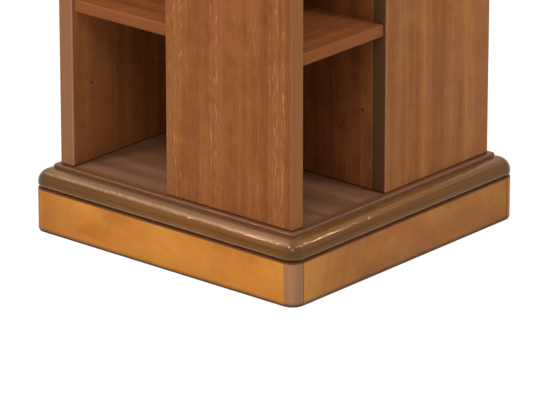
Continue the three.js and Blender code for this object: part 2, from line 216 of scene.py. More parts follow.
# Weights and strengths in the other materials
CLOUD_WEIGHT = 0.65
ARC_CUT = (0.7, 1.0)
ARC_PATCH_CUT = (0.48, 0.66)
ARC_STRENGTH = 0.3
SEAM_STRENGTH = 0.75
WALNUT_BAND_WEIGHT = 0.6
CORNER_STRENGTH = 0.75
CORNER_CUT = (0.1, 0.4)
CORNER_CALM = 0.95
FIELD_CALM = 0.9
FILLET_SHADE_STRENGTH = 0.5
FIBRE_RELIEF = 0.1
CHERRY_FIBRE_RELIEF = 0.5
SPOT_CUT = (0.35, 0.7)
MARK_ROUGHNESS = 0.14

# Lacquer: roughness from and to, and the depth of its relief
LACQUER_IOR = 1.45
SATIN = (0.42, 0.56)
VENEER_SATIN = (0.4, 0.52)
BARE_ROUGHNESS = (0.65, 0.8)
PLASTIC_ROUGHNESS = (0.45, 0.6)
GLOSS = (0.05, 0.09)
FIELD_DULLING = 0.36
FINE_DEPTH = 0.2 * MM
PLATING_DEPTH = 0.05 * MM
RIPPLE_DEPTH = 0.28 * MM

# Colours from 0 to 255 in sRGB. A body has a dark, a middle and a light tone.
# Dark tone of the glue lines at the rails' ends, and of the painted shade on the fillet's face
GLUE_LINE_AND_SHADE = (52, 30, 18)
# Painted light for the plinth's top in the moulding's shadow, and painted shade for its rim
GAP_PAINTED_LIGHT = (204, 142, 90)
RIM_PAINTED_SHADE = (122, 75, 46)
CHERRY = {
    # The edge tone is a painted highlight along the rounded upright edges of the boards
    "body": ((122, 68, 34), (138, 80, 42), (152, 92, 48)), "fleck": (208, 148, 92), "pore": (96, 52, 26),
    # The last tone is a painted contact shadow along the bottoms of the upright boards
    "end": (146, 94, 56), "edge": (152, 104, 76), "joint": (62, 20, 4),
}
# The right cherry's end tone is darker than its wood: a painted shadow on the end faces
RIGHT_CHERRY = dict(
    CHERRY, body=((143, 88, 48), (156, 99, 55), (167, 112, 61)), fleck=(180, 128, 77),
    end=(98, 68, 44), edge=(162, 116, 90),
)
LEFT_CHERRY = dict(RIGHT_CHERRY, end=(148, 101, 66), edge=(181, 144, 126))
SHELF_CHERRY = dict(CHERRY, end=(138, 80, 42), edge=(146, 92, 58))
WALNUT = {
    "body": ((88, 48, 12), (108, 63, 18), (124, 76, 26)),
    # The crown tone is a painted highlight on the ovolo's upper part, as of a broad light from above
    "crown": ((122, 86, 58), (136, 100, 70), (148, 110, 78)),
    "ledge": ((96, 56, 32), (108, 65, 38), (118, 73, 46)),
    "field": ((121, 81, 58), (135, 94, 69), (145, 104, 79)),
    # The lip tone is a painted highlight on the rounded lip, as of light from the floor below
    "lip": (134, 96, 58), "corner": (88, 56, 32),
}
VENEER = ((189, 116, 46), (205, 132, 53), (215, 144, 61))
# The deep rails' veneer is the same veneer with painted shade, for sides that take less lamp light
SHADED_DEEP_VENEER = ((151, 91, 46), (165, 105, 55), (178, 119, 61))
# Tones of the near corner post: its wood with a painted pinkish reflection of the white surroundings
NEAR_POST_REFLECTION_TONES = ((163, 108, 72), (177, 121, 83), (185, 129, 89))
PALE_CORNER_TONES = ((176, 108, 50), (188, 120, 58), (196, 130, 66))
BARE_TONES = ((168, 132, 88), (190, 154, 106), (206, 172, 124))
ZINC = (186, 188, 190)
STEEL = (208, 210, 212)
NYLON = (74, 68, 62)

# Colours that are already linear
WHITE = (1.0, 1.0, 1.0, 1.0)
GOLDEN_SHEEN = (1.0, 0.65, 0.34, 1.0)
# Painted shade for the moulding's sides that face along X, on its body, lip and crown
SIDE_PAINTED_SHADE = (0.76, 0.65, 0.34, 1.0)
SIDE_CROWN_PAINTED_SHADE = (0.74, 0.55, 0.22, 1.0)

base_low, base_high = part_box("base_board")
top_low, top_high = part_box("top_board")
panel_low, panel_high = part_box("front_panel")
divider_low, divider_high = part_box("front_divider")
rail_low, rail_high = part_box("front_rail")
floor_height = base_high.z
board_bottom = floor_height + SEAT_GAP
board_top = top_low.z - SEAT_GAP
hole_rows = [panel_high.x - HOLE_SETBACK, divider_high.x + HOLE_SETBACK]
hole_count = (SHELVES_PER_COLUMN + 1) * HOLES_PER_LEVEL
hole_pitch = (top_low.z - floor_height) / hole_count
hole_heights = [floor_height + hole_pitch * index for index in range(1, hole_count)]


def put(tree, kind, values=None, **settings):
    """Adds a shader node. Sockets among the values are linked, and other values are set."""
    node = tree.nodes.new(kind)
    for key, value in settings.items():
        setattr(node, key, value)
    for key, value in (values or {}).items():
        if isinstance(value, bpy.types.NodeSocket):
            tree.links.new(value, node.inputs[key])
        else:
            node.inputs[key].default_value = value
    return node


def linear(red, green, blue):
    """Linear colour of an sRGB colour written from 0 to 255."""
    def one(channel):
        share = channel / 255
        return share / 12.92 if share <= 0.04045 else ((share + 0.055) / 1.055) ** 2.4
    return one(red), one(green), one(blue), 1.0


def new_material(name):
    material = bpy.data.materials.new(name)
    material.use_nodes = True
    material.node_tree.nodes.clear()
    return material, material.node_tree


def object_place(tree):
    return put(tree, "ShaderNodeTexCoord").outputs["Object"]


def math_node(tree, operation, first, second=0.0, clamp=False):
    node = put(tree, "ShaderNodeMath", {0: first, 1: second}, operation=operation, use_clamp=clamp)
    return node.outputs[0]


def times(tree, first, second):
    return math_node(tree, "MULTIPLY", first, second)


def minus(tree, first, second):
    return math_node(tree, "SUBTRACT", first, second)


def larger(tree, first, second):
    return math_node(tree, "MAXIMUM", first, second)


def magnitude(tree, value):
    return math_node(tree, "ABSOLUTE", value)


def add_up(tree, *values):
    total = values[0]
    for value in values[1:]:
        total = math_node(tree, "ADD", total, value)
    return total


def remap(tree, value, low, high, to_low=0.0, to_high=1.0):
    """Smooth step from one value to another while the input runs from low to high."""
    node = put(tree, "ShaderNodeMapRange", {
        "Value": value, "From Min": low, "From Max": high, "To Min": to_low, "To Max": to_high,
    }, interpolation_type="SMOOTHSTEP")
    return node.outputs[0]


def blend_colours(tree, factor, first, second, blend_type="MIX"):
    """Mixes two colours, which the Mix node takes in its sockets 6 and 7 and gives in its output 2."""
    values = {0: factor, 6: first, 7: second}
    return put(tree, "ShaderNodeMix", values, data_type="RGBA", blend_type=blend_type).outputs[2]


def tint(tree, colour, shade):
    return put(tree, "ShaderNodeVectorMath", {0: colour, "Scale": shade}, operation="SCALE").outputs[0]


def axis_of(tree, vector, axis):
    return put(tree, "ShaderNodeSeparateXYZ", {0: vector}).outputs[axis]


def noise(tree, vector, scale, detail=2.0, roughness=0.5, distortion=0.0):
    node = put(tree, "ShaderNodeTexNoise", {
        "Vector": vector, "Scale": scale, "Detail": detail, "Roughness": roughness, "Distortion": distortion,
    })
    return node.outputs[0]


def stretch(tree, vector, along, share, shift=(0.0, 0.0, 0.0)):
    """Squeezes one axis of the coordinates, so that patterns run long in the grain's direction."""
    scale = [1.0, 1.0, 1.0]
    scale[along] = share
    node = put(tree, "ShaderNodeMapping", {"Vector": vector, "Scale": scale, "Location": shift})
    return node.outputs[0]


def grain_noise(tree, place, grain, share, scale, shift=(0.0, 0.0, 0.0), **settings):
    """Noise drawn out along the grain's axis."""
    return noise(tree, stretch(tree, place, grain, share, shift), scale, **settings)


def lipped_coordinates(tree, vector):
    """Coordinates whose X runs along the nearest edge of a square board, and carries on round its corners.
    The Mix node takes two vectors in its sockets 4 and 5 and gives the mixed one in its output 1."""
    x, y, z = put(tree, "ShaderNodeSeparateXYZ", {0: vector}).outputs
    across, deep = magnitude(tree, x), magnitude(tree, y)
    turned = math_node(tree, "GREATER_THAN", across, deep)
    straight = put(tree, "ShaderNodeCombineXYZ", {0: x, 1: deep, 2: z}).outputs[0]
    swapped = put(tree, "ShaderNodeCombineXYZ", {0: times(tree, y, -1.0), 1: across, 2: z}).outputs[0]
    return put(tree, "ShaderNodeMix", {0: turned, 4: straight, 5: swapped}, data_type="VECTOR").outputs[1]


def three_tones(tree, value, spread, tones):
    """Colour that runs from dark over middle to light while the value runs over its spread."""
    low, high = spread
    dark, middle, light = (linear(*tone) for tone in tones)
    centre = (low + high) / 2
    colour = blend_colours(tree, remap(tree, value, low, centre), dark, middle)
    return blend_colours(tree, remap(tree, value, centre, high), colour, light)


def shade_fibres(tree, colour, fibres, shades):
    """Makes a colour darker and lighter along its fibres."""
    return tint(tree, colour, remap(tree, fibres, *NOISE_SPREAD, *shades))


def lacquer(tree, colour, relief, bump, roughness, specular, tone=WHITE, depth=FINE_DEPTH):
    """Lacquered surface over a wood colour, its sheen a little uneven."""
    uneven = noise(tree, object_place(tree), **UNEVEN_SHEEN)
    surface = put(tree, "ShaderNodeBump", {"Height": relief, "Strength": bump, "Distance": depth}).outputs[0]
    shader = put(tree, "ShaderNodeBsdfPrincipled", {
        "Base Color": colour, "Roughness": remap(tree, uneven, *NOISE_SPREAD, *roughness), "Normal": surface,
        "IOR": LACQUER_IOR, "Specular IOR Level": specular, "Specular Tint": tone,
    })
    put(tree, "ShaderNodeOutputMaterial", {"Surface": shader.outputs[0]})


def leaf_tones(tree, reach, seed):
    """One random value from 0 to 1 for each glued strip across the boards."""
    leaf = math_node(tree, "FLOOR", math_node(tree, "DIVIDE", minus(tree, reach, LEAF_START), LEAF_WIDTH))
    number = add_up(tree, leaf, seed)
    return put(tree, "ShaderNodeTexWhiteNoise", {"W": number}, noise_dimensions="1D").outputs[0]


def streak_mask(tree, reach, streaks):
    """Soft streaks along the grain, each with its centre and half its width in millimetres."""
    gathered = 0.0
    for centre, width in streaks:
        offset = magnitude(tree, minus(tree, reach, centre * MM))
        streak = remap(tree, offset, STREAK_CORE * width * MM, width * MM, 1.0, 0.0)
        gathered = add_up(tree, gathered, streak)
    return gathered


def cherry_faces(tree, body, facing, fibres, tones):
    """Plain wood on the narrow faces that look across the board, and a painted highlight along the rounded
    edges.
    """
    end_dark, end_light = (linear(*[shade * channel for channel in tones["end"]]) for shade in END_FIBRES)
    end_grain = blend_colours(tree, remap(tree, fibres, *NOISE_SPREAD), end_dark, end_light)
    body = blend_colours(tree, remap(tree, facing, *END_FACE), body, end_grain)
    # Painted highlight on the rounded upright edges
    edge = times(tree, remap(tree, facing, *EDGE_HIGHLIGHT_IN), remap(tree, facing, *EDGE_HIGHLIGHT_OUT, 1.0, 0.0))
    return blend_colours(tree, times(tree, edge, EDGE_HIGHLIGHT_STRENGTH), body, linear(*tones["edge"]))


def cherry(name, tones, grain=2, across=0, streaks=(), shift=(0.0, 0.0, 0.0), fleck_share=0.9,
           curl_share=0.25, contact_shadow_height=None, ramps=()):
    """Cherry boards glued from strips: bands, fibres, pale flecks gathered in streaks, and plain end faces.
    A ramp is a band that grows lighter between two places in millimetres and then ends sharply."""
    material, tree = new_material(name)
    source = put(tree, "ShaderNodeTexCoord")
    place = source.outputs["Object"]
    bands = grain_noise(tree, place, grain, shift=shift, **CHERRY_BANDS)
    wide = grain_noise(tree, place, grain, shift=shift, **CHERRY_WIDE)
    curl = noise(tree, place, **CHERRY_CURL)
    fibres = grain_noise(tree, place, grain, **FIBRES)
    flecks = grain_noise(tree, place, grain, **CHERRY_FLECKS)
    pores = grain_noise(tree, place, grain, **CHERRY_PORES)

    reach = axis_of(tree, place, across)
    wander = times(tree, minus(tree, wide, 0.5), STREAK_WANDER)
    gathered = streak_mask(tree, add_up(tree, reach, wander), streaks)
    leaf = minus(tree, leaf_tones(tree, reach, LEAF_SEEDS * shift[across] + LEAF_SEED), 0.5)
    value = add_up(
        tree, times(tree, bands, 1 - WIDE_WEIGHT - curl_share), times(tree, wide, WIDE_WEIGHT),
        times(tree, curl, curl_share), times(tree, leaf, LEAF_WEIGHT), times(tree, gathered, STREAK_WEIGHT))
    for start, end in ramps:
        rising = remap(tree, reach, start * MM, end * MM, 0.0, RAMP_WEIGHT)
        ending = remap(tree, reach, end * MM - RAMP_EDGE, end * MM + RAMP_EDGE, 1.0, 0.0)
        value = add_up(tree, value, times(tree, rising, ending))

    body = three_tones(tree, value, CHERRY_SPREAD, tones["body"])
    body = shade_fibres(tree, body, fibres, STRONG_FIBRES)
    loose = remap(tree, bands, *FLECK_BANDS, *FLECKS_OUTSIDE_STREAKS)
    group = math_node(tree, "ADD", loose, times(tree, gathered, FLECKS_IN_STREAKS), clamp=True)
    fleck_mask = times(tree, remap(tree, flecks, *FLECK_CUT), group)
    body = blend_colours(tree, times(tree, fleck_mask, fleck_share), body, linear(*tones["fleck"]))
    pore_mask = times(tree, remap(tree, pores, *PORE_CUT), PORE_STRENGTH)
    body = blend_colours(tree, pore_mask, body, linear(*tones["pore"]))
    facing = magnitude(tree, axis_of(tree, source.outputs["Normal"], across))
    body = cherry_faces(tree, body, facing, fibres, tones)
    # Painted contact shadow along the bottom, where the board stands on the moulded base
    if contact_shadow_height is not None:
        start, end = (contact_shadow_height + rise for rise in CONTACT_SHADOW_FADE)
        joint = remap(tree, axis_of(tree, place, 2), start, end, CONTACT_SHADOW_STRENGTH, 0.0)
        body = blend_colours(tree, joint, body, linear(*tones["joint"]))
    relief = minus(tree, times(tree, fibres, CHERRY_FIBRE_RELIEF), pore_mask)
    lacquer(tree, body, relief, bump=0.2, roughness=SATIN, specular=0.07)
    return material


# Painted light and shade: a fade stands in for lamp light falling off along a side
def paint_light_falloff(tree, colour, place, axis, fade):
    """Blends a colour towards another tone along an axis. A fade has two places in millimetres, a share and
    a tone, and None leaves the colour as it is."""
    if fade is None:
        return colour
    start, end = fade["from"] * MM, fade["to"] * MM
    mask = remap(tree, axis_of(tree, place, axis), start, end, 0.0, fade["share"])
    return blend_colours(tree, mask, colour, linear(*fade["tone"]))


def paint_plinth_shade_and_light(tree, body, place):
    """Painted light on the top of the plinth, which lies in the moulding's shadow, and painted shade along
    its rim and on its foot.
    """
    rise = axis_of(tree, place, 2)
    # Painted shade, darker towards the plinth's foot
    body = tint(tree, body, remap(tree, rise, rail_low.z, rail_low.z + PLINTH_FOOT, FOOT_SHADE, 1.0))
    core = -rail_low.y - CORNER_RADIUS
    offsets = [minus(tree, magnitude(tree, axis_of(tree, place, axis)), core) for axis in (0, 1)]
    beyond = {axis: larger(tree, offset, 0.0) for axis, offset in enumerate(offsets)}
    flat = put(tree, "ShaderNodeCombineXYZ", beyond).outputs[0]
    reach = put(tree, "ShaderNodeVectorMath", {0: flat}, operation="LENGTH").outputs["Value"]
    rim = remap(tree, reach, *[CORNER_RADIUS - inset for inset in RIM_FADE])
    # Painted light on the top face in the gap, and painted shade along its rim
    gap_paint = blend_colours(tree, rim, linear(*GAP_PAINTED_LIGHT), linear(*RIM_PAINTED_SHADE))
    top = remap(tree, rise, *[rail_high.z - drop for drop in GAP_PAINT_FADE])
    return blend_colours(tree, top, body, gap_paint)


def straight_wood(name, tones, grain=2, roughness=SATIN, bump=0.15, on_plinth=True, fade=None):
    """Straight-grained solid wood, with the plinth's painted light and shade where it is part of its outside.
    """
    material, tree = new_material(name)
    place = object_place(tree)
    bands = grain_noise(tree, place, grain, **SOLID_BANDS)
    fibres = grain_noise(tree, place, grain, **FIBRES)
    body = three_tones(tree, bands, SOLID_SPREAD, tones)
    # Painted light falloff across the piece
    body = paint_light_falloff(tree, body, place, 1, fade)
    body = shade_fibres(tree, body, fibres, MILD_FIBRES)
    if on_plinth:
        body = paint_plinth_shade_and_light(tree, body, place)
    lacquer(tree, body, fibres, bump, roughness, specular=0.1)
    return material


def figured_veneer(name, tones, grain, fade, has_seams=False):
    """Pale figured veneer: soft clouds and faint arcs. Seams are dark glue lines at the rail's ends."""
    material, tree = new_material(name)
    place = object_place(tree)
    clouds = noise(tree, place, **VENEER_CLOUDS)
    bands = grain_noise(tree, place, grain, **VENEER_BANDS)
    fibres = grain_noise(tree, place, grain, **VENEER_FIBRES)
    value = add_up(tree, times(tree, clouds, CLOUD_WEIGHT), times(tree, bands, 1 - CLOUD_WEIGHT))
    body = three_tones(tree, value, VENEER_SPREAD, tones)
    # Painted light falloff along the rail
    body = paint_light_falloff(tree, body, place, grain, fade)
    body = shade_fibres(tree, body, fibres, FAINT_FIBRES)
    rings = put(tree, "ShaderNodeTexWave", {"Vector": place, **VENEER_ARCS},
                wave_type="RINGS", rings_direction="SPHERICAL").outputs[1]
    patches = remap(tree, noise(tree, place, **ARC_PATCHES), *ARC_PATCH_CUT)
    arcs = times(tree, remap(tree, rings, *ARC_CUT), patches)
    dark_tone = linear(*tones[0])
    body = blend_colours(tree, times(tree, arcs, ARC_STRENGTH), body, dark_tone)
    if has_seams:
        reach = magnitude(tree, axis_of(tree, place, grain))
        seam = remap(tree, reach, *[rail_high.x - inset for inset in SEAM_FADE], 0.0, SEAM_STRENGTH)
        body = blend_colours(tree, seam, body, linear(*GLUE_LINE_AND_SHADE))
    # Painted light and shade in the plinth's gap and on its foot
    body = paint_plinth_shade_and_light(tree, body, place)
    lacquer(tree, body, fibres, bump=0.06, roughness=VENEER_SATIN, specular=0.08)
    return material


def moulding_walnut(name, bottom, top):
    """Glossy walnut whose grain runs along the board's nearest edge, with a satin field inside the fillet."""
    material, tree = new_material(name)
    place = object_place(tree)
    along = lipped_coordinates(tree, place)
    bands = grain_noise(tree, along, 0, **WALNUT_BANDS)
    wide = grain_noise(tree, along, 0, **WALNUT_WIDE)
    fibres = grain_noise(tree, along, 0, **FIBRES)
    value = add_up(tree, times(tree, bands, WALNUT_BAND_WEIGHT), times(tree, wide, 1 - WALNUT_BAND_WEIGHT))
    height = axis_of(tree, place, 2)
    across, deep = (magnitude(tree, axis_of(tree, place, axis)) for axis in (0, 1))
    side = remap(tree, minus(tree, across, deep), -SIDE_FADE, SIDE_FADE)

    def walnut(part, pattern=value):
        return three_tones(tree, pattern, WALNUT_SPREAD, WALNUT[part])

    # Painted shade on the sides that face along X
    def shaded(colour, shade):
        return blend_colours(tree, side, colour, shade, "MULTIPLY")

    def above_bottom(fade, *ends):
        return remap(tree, height, *[bottom + rise for rise in fade], *ends)

    def below_top(fade, *ends):
        return remap(tree, height, *[top - drop for drop in fade], *ends)

    # Painted shade, darker towards the left end
    left_painted_shade = remap(tree, axis_of(tree, place, 0), *LEFT_FADE, *LEFT_PAINTED_SHADES)
    body = tint(tree, shaded(walnut("body"), SIDE_PAINTED_SHADE), left_painted_shade)
    ledge = walnut("ledge")
    # Painted highlight on the ovolo's upper part
    body = blend_colours(tree, above_bottom(CROWN_HIGHLIGHT_FADE), body, shaded(walnut("crown"), SIDE_CROWN_PAINTED_SHADE))
    body = blend_colours(tree, below_top(LEDGE_FADE), body, ledge)
    # Painted highlight on the rounded lip
    lip = shaded(linear(*WALNUT["lip"]), SIDE_PAINTED_SHADE)
    body = blend_colours(tree, above_bottom(LIP_HIGHLIGHT_FADE, 1.0, 0.0), body, lip)

    field = walnut("field", grain_noise(tree, place, 0, **FIELD_BANDS))
    inner, outer = FIELD_EDGE_FADE
    border = remap(tree, larger(tree, across, deep), panel_high.x - inner, panel_high.x + outer)
    field = blend_colours(tree, border, field, ledge)
    flat = below_top(FIELD_FADE)
    body = shade_fibres(tree, blend_colours(tree, flat, body, field), fibres, STRONG_FIBRES)

    mitre_ends = [2 * base_high.x - inset for inset in CORNER_FADE]
    corner = remap(tree, add_up(tree, across, deep), *mitre_ends, 0.0, CORNER_STRENGTH)
    corner = times(tree, corner, below_top(CORNER_TOP_FADE, 1.0, 0.0))
    body = blend_colours(tree, corner, body, linear(*WALNUT["corner"]))
    # Painted shade on the upper part of the fillet's face, under its rounded edge
    fillet_painted_shade = times(tree, below_top(FILLET_SHADE_IN), below_top(FILLET_SHADE_OUT, 1.0, 0.0))
    body = blend_colours(tree, times(tree, fillet_painted_shade, FILLET_SHADE_STRENGTH), body, linear(*GLUE_LINE_AND_SHADE))

    ripples = grain_noise(tree, along, 0, **RIPPLES)
    corner_calm = remap(tree, corner, *CORNER_CUT, 0.0, CORNER_CALM)
    calm = larger(tree, times(tree, flat, FIELD_CALM), corner_calm)
    relief = add_up(tree, times(tree, fibres, FIBRE_RELIEF), ripples)
    relief = times(tree, relief, minus(tree, 1.0, calm))
    sheen = [add_up(tree, times(tree, flat, FIELD_DULLING), share) for share in GLOSS]
    lacquer(tree, body, relief, bump=1.0, roughness=sheen, specular=0.5, tone=GOLDEN_SHEEN,
            depth=RIPPLE_DEPTH)
    return material


def plain_surface(name, pattern, colour, multiple, roughness, relief, bump, **settings):
    """Surface whose colour varies between one tone and a multiple of it. The pattern, the roughness and the
    relief are functions of the node tree."""
    material, tree = new_material(name)
    second = linear(*[multiple * channel for channel in colour])
    surface = put(tree, "ShaderNodeBump", {
        "Height": relief(tree), "Strength": bump, "Distance": PLATING_DEPTH,
    }).outputs[0]
    shader = put(tree, "ShaderNodeBsdfPrincipled", {
        "Base Color": blend_colours(tree, pattern(tree), linear(*colour), second),
        "Roughness": roughness(tree), "Normal": surface, **settings,
    })
    put(tree, "ShaderNodeOutputMaterial", {"Surface": shader.outputs[0]})
    return material


def metal(name, colour, roughness, streaks):
    """Plated steel with faint rolling marks and spots of duller plating."""
    def marks(tree):
        return grain_noise(tree, object_place(tree), 0, scale=streaks, **ROLLING_MARKS)

    def spots(tree):
        return remap(tree, noise(tree, object_place(tree), **PLATING_SPOTS), *SPOT_CUT)

    def shine(tree):
        return add_up(tree, remap(tree, marks(tree), *NOISE_SPREAD, 0.0, MARK_ROUGHNESS), roughness)

    return plain_surface(name, spots, colour, multiple=0.86, roughness=shine, relief=marks, bump=0.15,
                         Metallic=1.0)


def moulded_plastic(name, colour):
    """Matt plastic with a fine grain and faint smears."""
    def smears(tree, *ends):
        return remap(tree, noise(tree, object_place(tree), **PLASTIC_SMEARS), *NOISE_SPREAD, *ends)

    def sheen(tree):
        return smears(tree, *PLASTIC_ROUGHNESS)

    def grains(tree):
        return noise(tree, object_place(tree), **PLASTIC_GRAINS)

    return plain_surface(name, smears, colour, multiple=1.2, roughness=sheen, relief=grains, bump=0.3)


# Finishes. The places of streaks, ramps and fades are in millimetres from the tower's axis, and those of the
# front and right sides follow the photograph.
panel_woods = [
    cherry("front_cherry", CHERRY, across=0, contact_shadow_height=floor_height,
           streaks=((3, 3), (10, 3), (49, 2), (56, 4), (123, 2), (132, 4), (140, 3))),
    cherry("right_cherry", RIGHT_CHERRY, across=1, contact_shadow_height=floor_height, fleck_share=0.3,
           curl_share=0.22, streaks=((22, 4),), shift=(0.21, 0.43, 0.0), ramps=((39, 49.5), (90, 118.5))),
    cherry("back_cherry", CHERRY, across=0, contact_shadow_height=floor_height,
           streaks=((-118, 6), (-60, 8), (-14, 5)), shift=(0.67, 0.15, 0.0)),
    cherry("left_cherry", LEFT_CHERRY, across=1, contact_shadow_height=floor_height,
           streaks=((-131, 8), (-88, 5), (-30, 7)), shift=(0.39, 0.82, 0.0)),
]
shelf_woods = [
    cherry("shelf_cherry_across", SHELF_CHERRY, grain=1, across=0, streaks=((40, 6), (-70, 6))),
    cherry("shelf_cherry_deep", SHELF_CHERRY, grain=0, across=1, streaks=((40, 6), (-70, 6))),
]
base_walnut = moulding_walnut("base_walnut", base_low.z, base_high.z)
top_walnut = moulding_walnut("top_walnut", top_low.z, top_high.z)
# The fades on the rails and the near post are painted light falloff: lighter or darker towards one end
rail_veneers = [
    figured_veneer("veneer_across", VENEER, grain=0,
                   fade={"from": -90, "to": -171, "share": 0.7, "tone": (170, 104, 50)}),
    figured_veneer("veneer_deep", SHADED_DEEP_VENEER, grain=1, has_seams=True,
                   fade={"from": -70, "to": -165, "share": 0.9, "tone": (192, 132, 66)}),
]
# Near post: painted reflection in its tones, and painted shade on its right-facing half
corner_wood = straight_wood("corner_wood", NEAR_POST_REFLECTION_TONES,
                            fade={"from": -171, "to": -161, "share": 0.8, "tone": (142, 106, 78)})
pale_corner_wood = straight_wood("pale_corner_wood", PALE_CORNER_TONES)
bare_wood = straight_wood("bare_wood", BARE_TONES, grain=0, roughness=BARE_ROUGHNESS, bump=0.5,
                          on_plinth=False)
zinc = metal("zinc_steel", ZINC, roughness=0.3, streaks=900.0)
ball_steel = metal("ball_steel", STEEL, roughness=0.12, streaks=1200.0)
nylon = moulded_plastic("glide_nylon", NYLON)


def smooth(mesh):
    for polygon in mesh.polygons:
        polygon.use_smooth = True
    mesh.set_sharp_from_angle(angle=SMOOTH_ANGLE)


def finish_piece(name, bm, material, body, slot, *nodes):
    """Makes an object of the mesh and puts it on its body, in place of its CAD nodes."""
    bmesh.ops.recalc_face_normals(bm, faces=bm.faces)
    mesh = bpy.data.meshes.new(name)
    bm.to_mesh(mesh)
    bm.free()
    smooth(mesh)
    piece = bpy.data.objects.new(name, mesh)
    bpy.context.scene.collection.objects.link(piece)
    piece.data.materials.append(material)
    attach(piece, body)
    if nodes:
        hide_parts(*nodes)
    return piece


def box_mesh(low, high):
    """Box between two corners, for its edges to be rounded."""
    bm = bmesh.new()
    bmesh.ops.create_cube(bm, size=1.0)
    low, high = Vector(low), Vector(high)
    size, centre = high - low, (high + low) / 2
    for vertex in bm.verts:
        vertex.co = Vector(a * b for a, b in zip(vertex.co, size)) + centre
    return bm


def edges_along(bm, axis):
    """Edges of a box or prism that run along an axis."""
    return [edge for edge in bm.edges if abs(edge.verts[0].co[axis] - edge.verts[1].co[axis]) > MM]


def level_edges(bm):
    """Edges of a box or prism that lie level, round its two ends."""
    uprights = edges_along(bm, 2)
    return [edge for edge in bm.edges if edge not in uprights]


def round_edges(bm, edges, radius, segments, clamp_overlap=False):
    bmesh.ops.bevel(bm, geom=edges, offset=radius, segments=segments, profile=0.5, affect="EDGES",
                    clamp_overlap=clamp_overlap)


def turn(bm, quarter):
    bm.transform(Matrix.Rotation(quarter * QUARTER_TURN, 4, "Z"))
    return bm


def upright_board(low, high, radius, segments):
    """Board whose upright edges are rounded and whose two ends are cut square."""
    bm = box_mesh(low, high)
    round_edges(bm, edges_along(bm, 2), radius, segments)
    round_edges(bm, level_edges(bm), END_EASE, 1)
    return bm


def lying_rod(bm, radius, centre, start, end, axis):
    """Rod along X (axis 0) or Y (axis 1), between two places on that axis."""
    made = bmesh.ops.create_cone(bm, cap_ends=True, segments=ROD_SIDES, radius1=radius, radius2=radius,
                                 depth=end - start)
    turned = Matrix.Rotation(QUARTER_TURN, 4, "Y" if axis == 0 else "X")
    place = list(centre)
    place[axis] = (start + end) / 2
    bmesh.ops.transform(bm, matrix=Matrix.Translation(place) @ turned, verts=made["verts"])


def drill(piece, rods):
    """Cuts rods out of a piece with an exact boolean, and applies it."""
    mesh = bpy.data.meshes.new("drill")
    rods.to_mesh(mesh)
    rods.free()
    cutter = bpy.data.objects.new("drill", mesh)
    bpy.context.scene.collection.objects.link(cutter)
    modifier = piece.modifiers.new("holes", "BOOLEAN")
    modifier.operation = "DIFFERENCE"
    modifier.solver = "EXACT"
    modifier.object = cutter
    depsgraph = bpy.context.evaluated_depsgraph_get()
    drilled = bpy.data.meshes.new_from_object(piece.evaluated_get(depsgraph))
    piece.modifiers.clear()
    piece.data = drilled
    smooth(drilled)
    bpy.data.objects.remove(cutter)
    bpy.data.meshes.remove(mesh)


def hole_rods(places, start, end, axis):
    """Rods for the peg holes in one face of a board, at places across it and at every height."""
    rods = bmesh.new()
    for height in hole_heights:
        for x, y in places:
            lying_rod(rods, HOLE_RADIUS, (x, y, height), start, end, axis)
    return rods


def make_drilled_board(name, board, rods, quarter, material):
    piece = finish_piece(f"{name}_finished", turn(board, quarter), material, "tower", "panel_wood", name)
    drill(piece, turn(rods, quarter))


def make_panel(quarter):
    """Outer board, with its peg holes in the face that looks into the tower."""
    low = (panel_low.x, panel_low.y, board_bottom)
    high = (panel_high.x, panel_high.y, board_top)
    board = upright_board(low, high, BOARD_ROUND, BOARD_ROUND_STEPS)
    start, end = panel_high.y - HOLE_DEPTH, panel_high.y + HOLE_RADIUS
    rods = hole_rods([(row, 0) for row in hole_rows], start, end, 1)
    make_drilled_board(f"{SIDES[quarter]}_panel", board, rods, quarter, panel_woods[quarter])


def make_divider(quarter):
    """Board between two columns. Its peg holes look into the column behind the previous panel."""
    low = (divider_low.x, divider_low.y, board_bottom)
    high = (divider_high.x, divider_high.y, board_top)
    board = upright_board(low, high, DIVIDER_ROUND, DIVIDER_ROUND_STEPS)
    start, end = divider_low.x - HOLE_RADIUS, divider_low.x + HOLE_DEPTH
    rods = hole_rods([(0, -row) for row in hole_rows], start, end, 0)
    make_drilled_board(f"{SIDES[quarter]}_divider", board, rods, quarter, panel_woods[(quarter + 1) % 4])


def make_shelf(quarter, level):
    """Shelf of the column behind one panel, with its four steel pegs as a piece of their own."""
    name = f"{SIDES[(quarter + 1) % 4]}_shelf_{level}"
    near, far = panel_high.y + SEAT_GAP, divider_low.x - SEAT_GAP
    back, front = divider_high.x + SEAT_GAP, panel_high.x - SHELF_SETBACK
    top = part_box(name)[1].z
    bottom = top - SHELF_THICKNESS
    board = box_mesh((back, near, bottom), (front, far, top))
    round_edges(board, board.edges[:], SHELF_ROUND, SHELF_ROUND_STEPS)
    wood = shelf_woods[quarter % 2]
    finish_piece(f"{name}_finished", turn(board, quarter), wood, "tower", "shelf_wood", name)
    pegs = bmesh.new()
    height = bottom + PEG_BITE - PEG_RADIUS
    for row in hole_rows:
        for wall, inward in ((panel_high.y, 1), (divider_low.x, -1)):
            peg = sorted((wall - inward * PEG_DEPTH, wall + inward * PEG_REACH))
            lying_rod(pegs, PEG_RADIUS, (row, 0, height), *peg, 1)
            collar = sorted((wall + inward * COLLAR_GAP, wall + inward * COLLAR_WIDTH))
            lying_rod(pegs, COLLAR_RADIUS, (row, 0, height), *collar, 1)
    finish_piece(f"{name}_pegs", turn(pegs, quarter), zinc, "tower", "bearing_steel")


